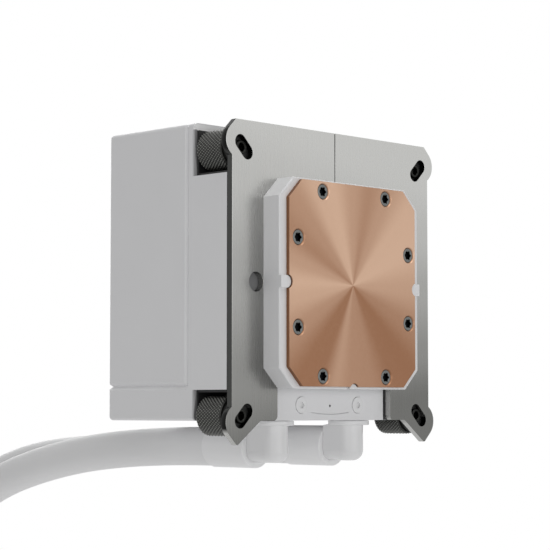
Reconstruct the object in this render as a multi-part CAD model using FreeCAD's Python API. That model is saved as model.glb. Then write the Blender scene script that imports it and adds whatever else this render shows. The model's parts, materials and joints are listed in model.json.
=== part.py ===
import FreeCAD
import Part
import math
import os

V = FreeCAD.Vector

# Frame: the origin is the middle of the socket pattern, on the bracket's outer face.
# -Y points at the processor, +Y at the display, +Z up. All sizes are in millimetres.

# Socket pattern and steel bracket
stud_pitch = 76.5
slot_width = 4.2
slot_length = 8.1
plate_thickness = 2.0
plate_side_margin = 4.75
plate_top_margin = 7.85
plate_seam = 0.3
plate_mouth_half = 24.6
mouth_corner_radius = 1.5
lobe_radius = 5.2
lobe_shift_x = 1.95
lobe_shift_z = 1.75
ear_foot_margin = 6.9
ear_tip_drop = 3.0
ear_tip_radius = 0.8
hole_radius = 2.8
hole_margin = 2.95

# Cold plate
face_y = -7.7
cold_half_width = 27.6
cold_half_height = 29.8
cold_corner = 5.5
cold_thickness = 2.8
fin_count = 13
fin_pitch = 2.0
fin_thickness = 1.0
fin_height = 2.5
fin_length = 26.0
notch_radius = 2.0
peg_radius = 1.8
peg_rise = 0.7
side_peg_margin = 0.6
bottom_peg_margin = 1.0

# Countersunk screws of the cold plate
screw_head_radius = 2.45
screw_head_height = 1.25
screw_shank_radius = 1.2
screw_shank_length = 6.6
screw_hex_flats = 2.1
screw_hex_depth = 1.0
screw_sink_gap = 0.1
edge_screw_x = 13.8
edge_screw_inset = 2.96
side_screw_inset = 3.4
screw_shift_x = 0.45
left_screw_z = 12.9
right_screw_z = 10.4

# Octagonal skirt and the neck that carries the bracket
copper_rise = 1.3
rim_side = 2.8
rim_level = 0.6
rim_corner = 0.3
rim_chamfer = 0.3
shoulder_side = 2.9
shoulder_level = 2.1
shoulder_corner = 0.8
neck_clearance = 0.2

# Housing
housing_over_plate = 0.25
bib_height = 9.25
base_gap = 0.1
rear_seam_y = 18.8
far_face_y = 53.2
bar_height = 9.95
groove_upright = 0.8
groove_level = 1.1
edge_radius = 1.2
wall = 2.2

# Nut wells in the four corners of the base
well_room = 1.65
well_back_y = 15.5
well_floor = 1.7
well_liner = 0.7
well_edge = 1.0

# Thumb nuts
nut_radius = 5.8
nut_front_y = 4.0
nut_back_y = 14.0
nut_chamfer = 0.6
knurl_count = 36
knurl_depth = 0.35
nut_collar_radius = 4.6
nut_shank_radius = 2.0
nut_bore_radius = 1.25
nut_bore_depth = 11.0
washer_radius = 5.2
washer_thickness = 0.6
washer_clearance = 0.15
nut_float = 0.1

# Fin chamber, gasket and jet plate
chamber_radius = 19.0
gasket_radius = 21.0
gasket_width = 1.5
gasket_depth = 1.0
gasket_clearance = 0.05
jet_thickness = 1.2
jet_slot_width = 2.4
jet_step = 2.0
jet_clearance = 0.1
jet_pocket_depth = 1.4

# Impeller chamber and lid
partition_back_y = 3.0
eye_radius = 3.5
impeller_room_gap = 2.0
lid_front_y = 12.0
lid_thickness = 2.0
lid_rim = 1.7
lid_clearance = 0.1
lid_screw_gap = 2.2
lid_screw_radius = 1.0
lid_screw_head = 1.6
lid_screw_head_height = 1.4
lid_screw_length = 6.0
lid_seal_gap = 2.0
lid_seal_width = 1.2
lid_seal_depth = 0.8
can_radius = 8.6
can_wall = 0.8
can_length = 8.8
can_boss_radius = 2.2
can_boss_length = 1.6
screw_thread_clearance = 0.05

# Shaft and impeller
shaft_radius = 1.0
shaft_fit = 0.02
shaft_front_y = 3.6
cap_radius = 2.2
cap_thickness = 1.0
bush_radius = 2.4
bush_running_clearance = 0.05
bush_end_float = 0.2
impeller_radius = 15.0
impeller_plate_y = 8.0
impeller_plate_thickness = 1.2
blade_front_y = 3.6
blade_count = 7
blade_inner_radius = 4.4
blade_thickness = 1.0
blade_curve = 11.0
hub_radius = 3.2
rotor_radius = 7.3
rotor_skin = 0.35
rotor_back_y = 19.6
magnet_inner_radius = 4.2
magnet_clearance = 0.03

# Stator
stator_radius = 17.5
stator_clearance = 0.1
stator_front_y = 15.4
stator_thickness = 5.0
tooth_count = 6
tooth_width = 4.4
shoe_radius = 10.2
yoke_inner_radius = 14.5
slot_mouth = 1.6
coil_clearance = 0.1
coil_width = 1.9
coil_overhang = 1.4

# Control board
motor_bay_clearance = 0.2
board_leg_gap = 0.8
board_low_margin = 3.5
board_high_margin = 8.0
board_standoff = 7.2
board_thickness = 1.6
board_corner_radius = 3.0
post_inset = 3.0
post_radius = 2.4
board_screw_radius = 1.1
board_screw_head = 2.1
board_screw_head_height = 1.4
board_screw_length = 5.0
board_hole_clearance = 0.2
chip_size = 10.0
chip_height = 1.2
capacitor_radius = 3.0
capacitor_height = 6.0
capacitor_pitch = 9.0
header_length = 12.0
header_width = 5.0
header_height = 5.5

# Cable socket in the right wall of the base
socket_half_length = 6.0
socket_height = 3.6
socket_depth = 7.0
socket_y = 8.3
socket_wall = 0.6
socket_clearance = 0.05
tongue_thickness = 0.6
tongue_inset = 1.2

# Display
display_depth = 9.2
carrier_thickness = 2.0
carrier_margin = 2.5
carrier_leg_radius = 2.5
carrier_leg_inset = 4.0
panel_clearance = 0.5
glass_thickness = 1.5
glass_margin = 2.5
glass_clearance = 0.2
glass_corner_radius = 2.0
window_margin = 5.5

# Ports, elbows and retainer
port_x = 16.57
port_y = 9.88
port_radius = 5.0
port_depth = 8.2
port_running_clearance = 0.05
channel_radius = 3.0
left_channel_length = 25.4
right_channel_length = 14.4
swivel_gap = 0.1
elbow_flange_radius = 6.27
elbow_flange_thickness = 1.4
elbow_half_width = 4.4
elbow_drop = 7.9
elbow_side_radius = 4.2
elbow_foot_radius = 3.2
elbow_bore = 2.6
nipple_radius = 3.9
neck_length = 7.6
neck_groove_radius = 4.0
neck_seal_radius = 4.2
neck_seal_width = 1.2
neck_seal_pitch = 2.0
neck_seal_below_top = 1.0
retainer_inset = 0.6
retainer_side_gap = 0.8
retainer_tuck = 1.0
retainer_thickness = 1.5
retainer_recess = 0.2
retainer_gap = 0.2
tine_thickness = 1.1
tine_height = 1.4
tine_length = 9.6
tine_clearance = 0.1
tine_inset = 1.0
retainer_screw_x = 12.3
retainer_screw_height = 4.5
retainer_screw_head = 2.4
retainer_screw_radius = 0.9
retainer_screw_depth = 1.6
latch_half_width = 8.3
latch_height = 2.4
latch_sag = 0.6
latch_line = 0.25
latch_depth = 0.5
dot_radius = 0.3
dot_height = 4.3

# Hoses and their ferrules
ferrule_radius = 6.2
ferrule_start_y = 16.6
ferrule_length = 17.3
ferrule_edge = 1.0
ferrule_bore_clearance = 0.1
ferrule_cap = 1.0
hose_radius = 5.85
arc_share = 0.45

# Fittings at the far ends
tail_collar_radius = 5.6
tail_collar_length = 2.0
tail_barrel_radius = 4.4
tail_flange_radius = 5.2
tail_flange_length = 1.2
tail_clearance = 0.1
nut_flats = 17.0
nut_length = 6.0
nut_edge = 1.2
thread_radius = 6.58
thread_length = 5.6
thread_bore_radius = 5.4
end_seal_radius = 7.9
end_seal_inner_radius = 6.9
end_seal_width = 1.3
end_seal_proud = 0.12

# Sizes that follow from the ones above
cold_back_y = face_y + cold_thickness
fin_tip_y = cold_back_y + fin_height
jet_back_y = fin_tip_y + jet_thickness
chamber_back_y = jet_back_y + jet_pocket_depth
base_front_y = plate_thickness + base_gap
lid_back_y = lid_front_y + lid_thickness
impeller_room_radius = impeller_radius + impeller_room_gap
lid_seal_radius = impeller_room_radius + lid_seal_gap
lid_screw_circle = lid_seal_radius + lid_screw_gap
lid_radius = lid_screw_circle + lid_rim
can_back_y = lid_back_y + can_length
can_floor_y = can_back_y - can_wall
stud_offset = stud_pitch / 2
plate_half_width = stud_offset + plate_side_margin
plate_top = stud_offset + plate_top_margin
lobe_centre_x = stud_offset + lobe_shift_x
lobe_centre_z = stud_offset + lobe_shift_z
ear_foot_x = plate_mouth_half + ear_foot_margin
rim_y = face_y + copper_rise
skirt_half_width = cold_half_width + rim_side
skirt_half_height = cold_half_height + rim_level
skirt_corner = cold_corner + rim_corner
neck_half_width = skirt_half_width - shoulder_side
neck_half_height = skirt_half_height - shoulder_level
neck_corner = skirt_corner - shoulder_corner
hole_x = skirt_half_width + hole_margin
side_peg_x = cold_half_width + side_peg_margin
bottom_peg_z = -cold_half_height - bottom_peg_margin
edge_screw_z = cold_half_height - edge_screw_inset
side_screw_x = cold_half_width - side_screw_inset
plate_bottom = skirt_half_height + bib_height
housing_half_width = plate_half_width
housing_top = plate_top + housing_over_plate
housing_bottom = -plate_bottom
bar_top_z = housing_bottom + bar_height
well_inner = stud_offset - nut_radius - well_room
rear_pocket_y = well_back_y + well_floor
carrier_front_y = far_face_y - display_depth
carrier_leg_x = housing_half_width - wall - carrier_margin - carrier_leg_inset
board_half_width = carrier_leg_x - carrier_leg_radius - board_leg_gap
board_low_z = bar_top_z + wall + board_low_margin
board_high_z = housing_top - wall - board_high_margin
board_front_y = rear_pocket_y + board_standoff
port_top_z = housing_bottom + port_depth
left_channel_top_z = port_top_z + left_channel_length
right_channel_top_z = port_top_z + right_channel_length
retainer_half_width = plate_mouth_half - retainer_inset
retainer_top_z = retainer_tuck - skirt_half_height
tine_half_width = retainer_half_width - tine_inset
tine_z = housing_bottom + tine_height
retainer_screw_z = housing_bottom + retainer_screw_height
latch_z = housing_bottom + latch_height
dot_z = housing_bottom + dot_height
hose_z = housing_bottom - elbow_drop
ferrule_end_y = ferrule_start_y + ferrule_length
elbow_top_z = housing_bottom - swivel_gap
flange_low_z = elbow_top_z - elbow_flange_thickness
cover_low_z = bar_top_z
glass_front_y = far_face_y - glass_thickness
panel_front_y = carrier_front_y + carrier_thickness
board_back_y = board_front_y + board_thickness

# Hose routes, from the ferrule's mouth: straight out, then down under their own weight
left_route = [
    (-port_x, ferrule_end_y, hose_z),
    (-port_x, 62.0, hose_z),
    (-port_x - 0.6, 106.0, hose_z - 4.35),
    (-port_x - 1.6, 146.0, hose_z - 15.2),
    (-port_x - 2.3, 180.0, hose_z - 37.5),
    (-port_x - 2.8, 203.0, hose_z - 73.0),
    (-port_x - 3.0, 212.0, hose_z - 116.0),
    (-port_x - 2.8, 213.0, hose_z - 161.0),
    (-port_x - 2.4, 211.5, hose_z - 205.0),
    (-port_x - 2.4, 211.5, hose_z - 245.0),
]
right_route = [
    (port_x, ferrule_end_y, hose_z),
    (port_x, 65.0, hose_z),
    (port_x + 0.5, 118.0, hose_z - 3.0),
    (port_x + 1.3, 168.0, hose_z - 6.2),
    (port_x + 2.0, 206.0, hose_z - 20.3),
    (port_x + 2.5, 233.0, hose_z - 48.0),
    (port_x + 2.8, 250.0, hose_z - 85.0),
    (port_x + 2.6, 255.5, hose_z - 127.0),
    (port_x + 2.0, 254.5, hose_z - 169.0),
    (port_x + 2.0, 254.5, hose_z - 207.0),
]

parts = {}


def box(x0, x1, y0, y1, z0, z1):
    return Part.makeBox(x1 - x0, y1 - y0, z1 - z0, V(x0, y0, z0))


def cyl_y(radius, y0, y1, x=0.0, z=0.0):
    return Part.makeCylinder(radius, y1 - y0, V(x, y0, z), V(0, 1, 0))


def cyl_z(radius, z0, z1, x=0.0, y=0.0):
    return Part.makeCylinder(radius, z1 - z0, V(x, y, z0), V(0, 0, 1))


def ring_y(outer, inner, y0, y1, x=0.0, z=0.0):
    return cyl_y(outer, y0, y1, x, z).cut(cyl_y(inner, y0, y1, x, z))


def cone_y(radius0, radius1, y0, y1, x=0.0, z=0.0):
    return Part.makeCone(radius0, radius1, y1 - y0, V(x, y0, z), V(0, 1, 0))


def prism_y(points, y0, y1):
    """A prism along Y on an outline of (x, z) points."""
    corners = [V(x, y0, z) for x, z in points]
    face = Part.Face(Part.makePolygon(corners + corners[:1]))
    return face.extrude(V(0, y1 - y0, 0))


def octagon(half_width, half_height, corner, y0, y1):
    """A rectangular prism along Y with its four corners cut at 45 degrees."""
    w, h, c = half_width, half_height, corner
    right = [(w, c - h), (w, h - c), (w - c, h)]
    left = [(c - w, h), (-w, h - c), (-w, c - h)]
    return prism_y(right + left + [(c - w, -h), (w - c, -h)], y0, y1)


def hexagon(flats, y0, y1, x=0.0, z=0.0):
    across = flats / math.sqrt(3)
    turns = [math.radians(60 * i) for i in range(6)]
    return prism_y([(x + across * math.cos(t), z + across * math.sin(t)) for t in turns], y0, y1)


def union(shapes):
    first = shapes[0]
    if len(shapes) == 1:
        return first
    return first.multiFuse(shapes[1:]).removeSplitter()


def mirrored(shape):
    """The same piece on the other side of the X = 0 plane."""
    return shape.mirror(V(0, 0, 0), V(1, 0, 0))


def edges_where(shape, test):
    return [e for e in shape.Edges if test(e.BoundBox)]


def near(value, target):
    return abs(value - target) < 1e-4


def flat_at(low, high, target):
    return near(low, target) and near(high, target)


def keep(name, *solids):
    """Stores a node: one solid, or a group of like solids."""
    loose = [s for shape in solids for s in shape.Solids]
    parts[name] = loose[0] if len(loose) == 1 else Part.makeCompound(loose)


def quadrants():
    return [(sx, sz) for sx in (-1, 1) for sz in (1, -1)]


# Screw places on the cold plate
def cold_screw_places():
    """Two screws along each side; the whole pattern sits a little off the middle."""
    level = [(sx * edge_screw_x, sz * edge_screw_z) for sx, sz in quadrants()]
    left = [(-side_screw_x, sz * left_screw_z) for sz in (1, -1)]
    right = [(side_screw_x, sz * right_screw_z) for sz in (1, -1)]
    return [(x + screw_shift_x, z) for x, z in level + left + right]


def locating_pegs(radius, y0, y1):
    """Two side pegs and one at the bottom, each run out to the skirt's edge."""
    pegs = []
    for side in (-1, 1):
        x = side * side_peg_x
        rim = sorted((x, side * skirt_half_width))
        pegs += [cyl_y(radius, y0, y1, x, 0), box(rim[0], rim[1], y0, y1, -radius, radius)]
    pegs += [cyl_y(radius, y0, y1, 0, bottom_peg_z)]
    return pegs


def make_cold_plate():
    plate = octagon(cold_half_width, cold_half_height, cold_corner, face_y, cold_back_y)
    cuts = locating_pegs(notch_radius, face_y, cold_back_y)
    for x, z in cold_screw_places():
        cuts.append(cone_y(screw_head_radius + screw_sink_gap, screw_shank_radius + screw_sink_gap,
                           face_y, face_y + screw_head_height, x, z))
        cuts.append(cyl_y(screw_shank_radius + screw_sink_gap, face_y, cold_back_y, x, z))
    first = -(fin_count - 1) * fin_pitch / 2
    fins = []
    for i in range(fin_count):
        x = first + i * fin_pitch
        fins.append(box(x - fin_thickness / 2, x + fin_thickness / 2, cold_back_y, fin_tip_y,
                        -fin_length / 2, fin_length / 2))
    keep("cold_plate", union([plate.cut(Part.makeCompound(cuts))] + fins))


def make_cold_plate_screws():
    screws = []
    top = face_y + screw_sink_gap
    for x, z in cold_screw_places():
        head = cone_y(screw_head_radius, screw_shank_radius, top, top + screw_head_height, x, z)
        shank = cyl_y(screw_shank_radius, top + screw_head_height - 0.01,
                      top + screw_head_height + screw_shank_length, x, z)
        drive = hexagon(screw_hex_flats, top, top + screw_hex_depth, x, z)
        screws.append(head.fuse(shank).removeSplitter().cut(drive))
    keep("cold_plate_screws", *screws)


def make_gasket_and_jet_plate():
    half = gasket_width / 2 - gasket_clearance
    keep("cold_plate_gasket", ring_y(gasket_radius + half, gasket_radius - half, cold_back_y,
                                     cold_back_y + gasket_depth))
    disc = cyl_y(chamber_radius - jet_clearance, fin_tip_y, jet_back_y)
    slot = box(-fin_length / 2, fin_length / 2, fin_tip_y, jet_back_y,
               -jet_slot_width / 2, jet_slot_width / 2)
    keep("jet_plate", disc.cut(slot))


def skirt():
    """The octagonal rim that the cold plate stands proud of, with its broken edge and the pegs."""
    body = octagon(skirt_half_width, skirt_half_height, skirt_corner, rim_y, 0)
    front = edges_where(body, lambda b: flat_at(b.YMin, b.YMax, rim_y))
    body = body.makeChamfer(rim_chamfer, front)
    pocket = octagon(cold_half_width, cold_half_height, cold_corner, rim_y, cold_back_y)
    peg_y = rim_y - peg_rise
    pegs = union(locating_pegs(peg_radius, peg_y, cold_back_y))
    inside = octagon(skirt_half_width, skirt_half_height, skirt_corner, peg_y, cold_back_y)
    return body.cut(pocket).fuse(pegs.common(inside))


def nut_well(sx, sz, grow=0.0):
    """The open corner of the base round one thumb nut."""
    far = housing_half_width + housing_top
    reach = well_inner - grow
    x = sorted((sx * reach, sx * far))
    z = sorted((sz * reach, sz * far))
    return box(x[0], x[1], base_front_y - 1, well_back_y + grow, z[0], z[1])


def housing_block():
    """The slab behind the bracket with the lower bar under the display cover."""
    w = housing_half_width
    slab = box(-w, w, base_front_y, rear_seam_y, housing_bottom, housing_top)
    bar = box(-w, w, rear_seam_y, far_face_y, housing_bottom, bar_top_z)
    block = slab.fuse(bar).removeSplitter()

    def long_edge(b):
        along_y = near(b.XMin, b.XMax) and near(b.ZMin, b.ZMax)
        outer = near(abs(b.XMin), w) and (near(b.ZMin, housing_bottom) or near(b.ZMin, housing_top))
        return along_y and outer

    def far_edge(b):
        on_face = flat_at(b.YMin, b.YMax, far_face_y)
        upright = near(b.XMin, b.XMax)
        return on_face and (upright or flat_at(b.ZMin, b.ZMax, housing_bottom))

    block = block.makeFillet(edge_radius, edges_where(block, lambda b: long_edge(b) or far_edge(b)))
    wells = [nut_well(sx, sz) for sx, sz in quadrants()]
    return block.cut(Part.makeCompound(wells))


def seam_chamfers():
    """Prisms that cut the V-shaped seams, half of each in the base."""
    w, u, g = housing_half_width, groove_upright, groove_level
    far = housing_top
    cuts = []
    for side in (-1, 1):
        upright = [V(side * w, rear_seam_y, 0), V(side * (w - u), rear_seam_y, 0),
                   V(side * w, rear_seam_y - u, 0)]
        face = Part.Face(Part.makePolygon(upright + upright[:1]))
        face.translate(V(0, 0, bar_top_z))
        cuts.append(face.extrude(V(0, 0, far - bar_top_z)))
        level = [V(side * w, 0, bar_top_z), V(side * (w - g), 0, bar_top_z),
                 V(side * w, 0, bar_top_z - g)]
        face = Part.Face(Part.makePolygon(level + level[:1]))
        face.translate(V(0, rear_seam_y, 0))
        cuts.append(face.extrude(V(0, far_face_y - rear_seam_y, 0)))
    top = [V(-w, rear_seam_y, far), V(-w, rear_seam_y - u, far), V(-w, rear_seam_y, far - u)]
    cuts.append(Part.Face(Part.makePolygon(top + top[:1])).extrude(V(2 * w, 0, 0)))
    back = [V(-w, far_face_y, bar_top_z), V(-w, far_face_y, bar_top_z - g),
            V(-w, far_face_y - g, bar_top_z)]
    cuts.append(Part.Face(Part.makePolygon(back + back[:1])).extrude(V(2 * w, 0, 0)))
    return cuts


def wet_side_cuts():
    """Fin chamber, gasket groove, impeller chamber, channels and the two port bores."""
    half = gasket_width / 2
    cuts = [
        cyl_y(chamber_radius, cold_back_y, jet_back_y),
        cyl_y(chamber_radius - jet_step, jet_back_y, chamber_back_y),
        ring_y(gasket_radius + half, gasket_radius - half, cold_back_y, cold_back_y + gasket_depth),
        cyl_y(eye_radius, chamber_back_y, partition_back_y),
        cyl_y(impeller_room_radius, partition_back_y, lid_front_y),
        cyl_z(channel_radius, port_top_z, left_channel_top_z, -port_x, port_y),
        cyl_z(channel_radius, port_top_z, right_channel_top_z, port_x, port_y),
        cyl_y(channel_radius, jet_back_y, port_y, port_x, right_channel_top_z),
        box(0, port_x, jet_back_y, chamber_back_y, right_channel_top_z - channel_radius, 0),
    ]
    for side in (-1, 1):
        cuts.append(cyl_z(port_radius, housing_bottom, port_top_z, side * port_x, port_y))
    thread = screw_shank_radius + screw_thread_clearance
    end = face_y + screw_sink_gap + screw_head_height + screw_shank_length + base_gap
    cuts += [cyl_y(thread, cold_back_y, end, x, z) for x, z in cold_screw_places()]
    return cuts


def lid_screw_places():
    turns = [math.radians(45 + 90 * i) for i in range(4)]
    return [(lid_screw_circle * math.cos(t), lid_screw_circle * math.sin(t)) for t in turns]


def board_post_places():
    x = board_half_width - post_inset
    return [(sx * x, z) for sx in (-1, 1) for z in (board_low_z + post_inset, board_high_z - post_inset)]


def dry_side_cuts():
    """Lid seat, lid seal groove, motor bay, rear pocket and the hollow of the lower bar."""
    w = housing_half_width - wall
    half = lid_seal_width / 2
    thread = lid_screw_radius + screw_thread_clearance
    lid_seat = lid_radius + lid_clearance
    bay = lid_seat + motor_bay_clearance
    cuts = [
        cyl_y(lid_seat, lid_front_y, lid_back_y),
        cyl_y(bay, lid_back_y, rear_seam_y),
        ring_y(lid_seal_radius + half, lid_seal_radius - half, lid_front_y - lid_seal_depth, lid_front_y),
        box(-w, w, rear_pocket_y, rear_seam_y, bar_top_z + wall, housing_top - wall),
        box(-w, w, rear_seam_y, far_face_y - wall, housing_bottom + wall, bar_top_z),
    ]
    cuts += [cyl_y(thread, lid_front_y - lid_screw_length, lid_front_y, x, z)
             for x, z in lid_screw_places()]
    return cuts


def retainer_cuts():
    """The recess of the retainer's face, its fork slot and its screw holes."""
    w = retainer_half_width + retainer_side_gap
    back = base_front_y + retainer_recess + retainer_thickness
    cuts = [
        box(-w, w, base_front_y, back, housing_bottom, retainer_top_z + retainer_gap),
        box(-tine_half_width - retainer_gap, tine_half_width + retainer_gap, back,
            back + tine_length + retainer_gap, tine_z - tine_clearance,
            tine_z + tine_thickness + tine_clearance),
    ]
    for side in (-1, 1):
        cuts.append(cyl_y(retainer_screw_radius + screw_thread_clearance, back,
                          back + retainer_screw_depth, side * retainer_screw_x, retainer_screw_z))
    return cuts


def socket_block(grow):
    w = housing_half_width
    half_height = socket_height / 2 + grow
    half_length = socket_half_length + grow
    return box(w - socket_depth - grow, w, socket_y - half_height, socket_y + half_height,
               -half_length, half_length)


def make_pump_base():
    neck = octagon(neck_half_width, neck_half_height, neck_corner, 0, base_front_y)
    body = union([skirt(), neck, housing_block()])
    cuts = seam_chamfers() + wet_side_cuts() + dry_side_cuts() + retainer_cuts()
    cuts.append(socket_block(socket_clearance))
    body = body.cut(cuts)
    posts = [cyl_y(post_radius, rear_pocket_y, board_front_y, x, z) for x, z in board_post_places()]
    body = union([body] + posts)
    thread = board_screw_radius + screw_thread_clearance
    holes = [cyl_y(thread, board_back_y - board_screw_length - base_gap, board_front_y, x, z)
             for x, z in board_post_places()]
    keep("pump_base", body.cut(holes))


def make_nut_well_liners():
    """Black three-sided linings of the wells, open towards the outside corner."""
    liners = []
    for sx, sz in quadrants():
        room = nut_well(sx, sz)
        hollow = nut_well(sx, sz, -well_liner)
        w = housing_half_width
        top = housing_top - wall if sz > 0 else -housing_bottom
        z = sorted((0, sz * top))
        x = sorted((0, sx * (w - well_edge)))
        extent = box(x[0], x[1], base_front_y, well_back_y, z[0], z[1])
        liners.append(room.cut(hollow).common(extent))
    keep("nut_well_liners", *liners)


def bracket_outline():
    """The right half's outer outline in the X-Z plane, from the seam round to the mouth."""
    lean = math.sqrt(0.5)
    reach = lobe_radius * lean
    touch = (lobe_centre_x + reach, lobe_centre_z + reach)
    top_x = touch[0] - (plate_top - touch[1])
    drop = math.sqrt(lobe_radius ** 2 - (plate_half_width - lobe_centre_x) ** 2)
    side_z = lobe_centre_z - drop
    mid = (lobe_centre_x + lobe_radius, lobe_centre_z)

    def line(a, b):
        return Part.makeLine(V(a[0], 0, a[1]), V(b[0], 0, b[1]))

    def lobe(a, b, sign):
        return Part.Arc(V(a[0], 0, sign * a[1]), V(mid[0], 0, sign * mid[1]),
                        V(b[0], 0, sign * b[1])).toShape()

    seam = plate_seam / 2
    side = (plate_half_width, side_z)
    tip = (touch[0] - ear_tip_drop, -touch[1] - ear_tip_drop)

    def flip(point):
        return point[0], -point[1]

    edges = [
        line((seam, plate_top), (top_x, plate_top)),
        line((top_x, plate_top), touch),
        lobe(touch, side, 1),
        line(side, flip(side)),
        lobe(side, touch, -1),
        line(flip(touch), tip),
        line(tip, (ear_foot_x, -plate_bottom)),
        line((ear_foot_x, -plate_bottom), (seam, -plate_bottom)),
        line((seam, -plate_bottom), (seam, plate_top)),
    ]
    return Part.Wire(Part.__sortEdges__(edges))


def stud_slot(sz):
    """A slot pointing from the stud's place at the middle of the plate."""
    run = (slot_length - slot_width) / 2
    lean = math.sqrt(0.5)
    bar = Part.makeBox(2 * run, plate_thickness, slot_width, V(-run, 0, -slot_width / 2))
    bar = bar.fuse([cyl_y(slot_width / 2, 0, plate_thickness, s * run, 0) for s in (-1, 1)])
    bar.rotate(V(0, 0, 0), V(0, 1, 0), -45 * sz)
    bar.translate(V(stud_offset, 0, sz * stud_offset))
    return bar


def make_brackets():
    plate = Part.Face(bracket_outline()).extrude(V(0, plate_thickness, 0))
    g = neck_clearance
    opening = octagon(neck_half_width + g, neck_half_height + g, neck_corner, 0, plate_thickness)
    mouth = box(0, plate_mouth_half, 0, plate_thickness, -2 * plate_bottom, 0)
    hole = cyl_y(hole_radius, 0, plate_thickness, hole_x, 0)
    half = plate.cut([opening, mouth, hole, stud_slot(1), stud_slot(-1)])

    lowest = half.BoundBox.ZMin

    def tip(b):
        upright = near(b.XMin, b.XMax) and near(b.ZMin, b.ZMax)
        return upright and near(b.ZMin, lowest)

    def mouth_corner(b):
        upright = near(b.XMin, b.XMax) and near(b.ZMin, b.ZMax)
        return upright and near(b.ZMin, -plate_bottom) and near(b.XMin, plate_mouth_half)

    half = half.makeFillet(ear_tip_radius, edges_where(half, tip))
    half = half.makeFillet(mouth_corner_radius, edges_where(half, mouth_corner))
    keep("bracket_right", half)
    keep("bracket_left", mirrored(half))


def nut_places():
    """Name, X and Z of each thumb nut."""
    names = {(-1, 1): "upper_left", (1, 1): "upper_right", (-1, -1): "lower_left", (1, -1): "lower_right"}
    return [(names[key], key[0] * stud_offset, key[1] * stud_offset) for key in quadrants()]


def make_thumb_nuts():
    turns = [math.pi * i / knurl_count for i in range(2 * knurl_count)]
    radii = [nut_radius - knurl_depth * (i % 2) for i in range(2 * knurl_count)]
    teeth = [(r * math.cos(t), r * math.sin(t)) for r, t in zip(radii, turns)]
    grip = prism_y(teeth, nut_front_y, nut_back_y)
    small = nut_radius - nut_chamfer
    middle = nut_back_y - nut_chamfer
    envelope = union([
        cone_y(small, nut_radius, nut_front_y, nut_front_y + nut_chamfer),
        cyl_y(nut_radius, nut_front_y + nut_chamfer, middle),
        cone_y(nut_radius, small, middle, nut_back_y),
    ])
    collar_y = plate_thickness + washer_thickness + nut_float
    nut = union([grip.common(envelope), cyl_y(nut_collar_radius, collar_y, nut_front_y),
                 cyl_y(nut_shank_radius, 0, collar_y)])
    nut = nut.cut(cyl_y(nut_bore_radius, 0, nut_bore_depth))
    washers = []
    for name, x, z in nut_places():
        copy = nut.copy()
        copy.translate(V(x, 0, z))
        keep("thumb_nut_" + name, copy)
        washers.append(ring_y(washer_radius, nut_shank_radius + washer_clearance, plate_thickness,
                              plate_thickness + washer_thickness, x, z))
    keep("nut_washers", *washers)


def make_pump_motor():
    bore = can_radius - can_wall
    lid = union([
        cyl_y(lid_radius, lid_front_y, lid_back_y),
        cyl_y(can_radius, lid_back_y, can_back_y),
    ])
    lid = lid.cut(cyl_y(bore, lid_front_y, can_floor_y))
    boss_y = can_floor_y - can_boss_length
    lid = union([lid, cyl_y(can_boss_radius, boss_y, can_floor_y)])
    holes = [cyl_y(lid_screw_radius + screw_thread_clearance, lid_front_y, lid_back_y, x, z)
             for x, z in lid_screw_places()]
    shaft_seat = cyl_y(shaft_radius + shaft_fit, boss_y, can_floor_y)
    keep("chamber_lid", lid.cut(holes + [shaft_seat]))
    screws = []
    for x, z in lid_screw_places():
        head = cyl_y(lid_screw_head, lid_back_y, lid_back_y + lid_screw_head_height, x, z)
        shank = cyl_y(lid_screw_radius, lid_front_y - lid_screw_length + base_gap, lid_back_y, x, z)
        screws.append(head.fuse(shank).removeSplitter())
    keep("lid_screws", *screws)
    half = lid_seal_width / 2 - gasket_clearance
    keep("lid_seal", ring_y(lid_seal_radius + half, lid_seal_radius - half,
                            lid_front_y - lid_seal_depth, lid_front_y))
    keep("impeller_shaft", cyl_y(shaft_radius, shaft_front_y, can_floor_y))
    keep("shaft_cap", cyl_y(cap_radius, shaft_front_y - cap_thickness / 2, shaft_front_y + cap_thickness / 2)
         .cut(cyl_y(shaft_radius + shaft_fit, shaft_front_y, shaft_front_y + cap_thickness)))


def curved_blade():
    """A blade swept backwards: an arc-shaped wall from the eye to the rim."""
    reach = impeller_radius - blade_thickness / 2
    wide = blade_curve + blade_thickness / 2
    thin = blade_curve - blade_thickness / 2
    middle = (blade_inner_radius + reach) / 2
    rise = math.sqrt(max(blade_curve ** 2 - ((reach - blade_inner_radius) / 2) ** 2, 1.0))
    wall = ring_y(wide, thin, blade_front_y, impeller_plate_y, middle, -rise)
    window = ring_y(reach, blade_inner_radius, blade_front_y, impeller_plate_y)
    upper = box(0, impeller_radius, blade_front_y, impeller_plate_y, -impeller_radius, impeller_radius)
    wall = wall.common(window).common(upper)
    top = max(wall.Solids, key=lambda s: s.CenterOfMass.z)
    return top


def make_impeller():
    plate_back = impeller_plate_y + impeller_plate_thickness
    bush_front = shaft_front_y + cap_thickness / 2 + bush_end_float
    blade = curved_blade()
    blades = []
    for i in range(blade_count):
        turned = blade.copy()
        turned.rotate(V(0, 0, 0), V(0, 1, 0), 360 * i / blade_count)
        blades.append(turned)
    plate = cyl_y(impeller_radius, impeller_plate_y, plate_back)
    hub = cyl_y(hub_radius, bush_front, impeller_plate_y)
    inner_tube = cyl_y(magnet_inner_radius - magnet_clearance, plate_back, rotor_back_y)
    skin = ring_y(rotor_radius, rotor_radius - rotor_skin, plate_back, rotor_back_y)
    body = union([plate, hub, inner_tube, skin] + blades)
    body = body.cut(cyl_y(bush_radius + shaft_fit, bush_front, rotor_back_y))
    keep("impeller", body)
    keep("rotor_magnet", ring_y(rotor_radius - rotor_skin - magnet_clearance, magnet_inner_radius,
                                plate_back, rotor_back_y))
    keep("impeller_bush", ring_y(bush_radius, shaft_radius + bush_running_clearance, bush_front,
                                 rotor_back_y))


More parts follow.
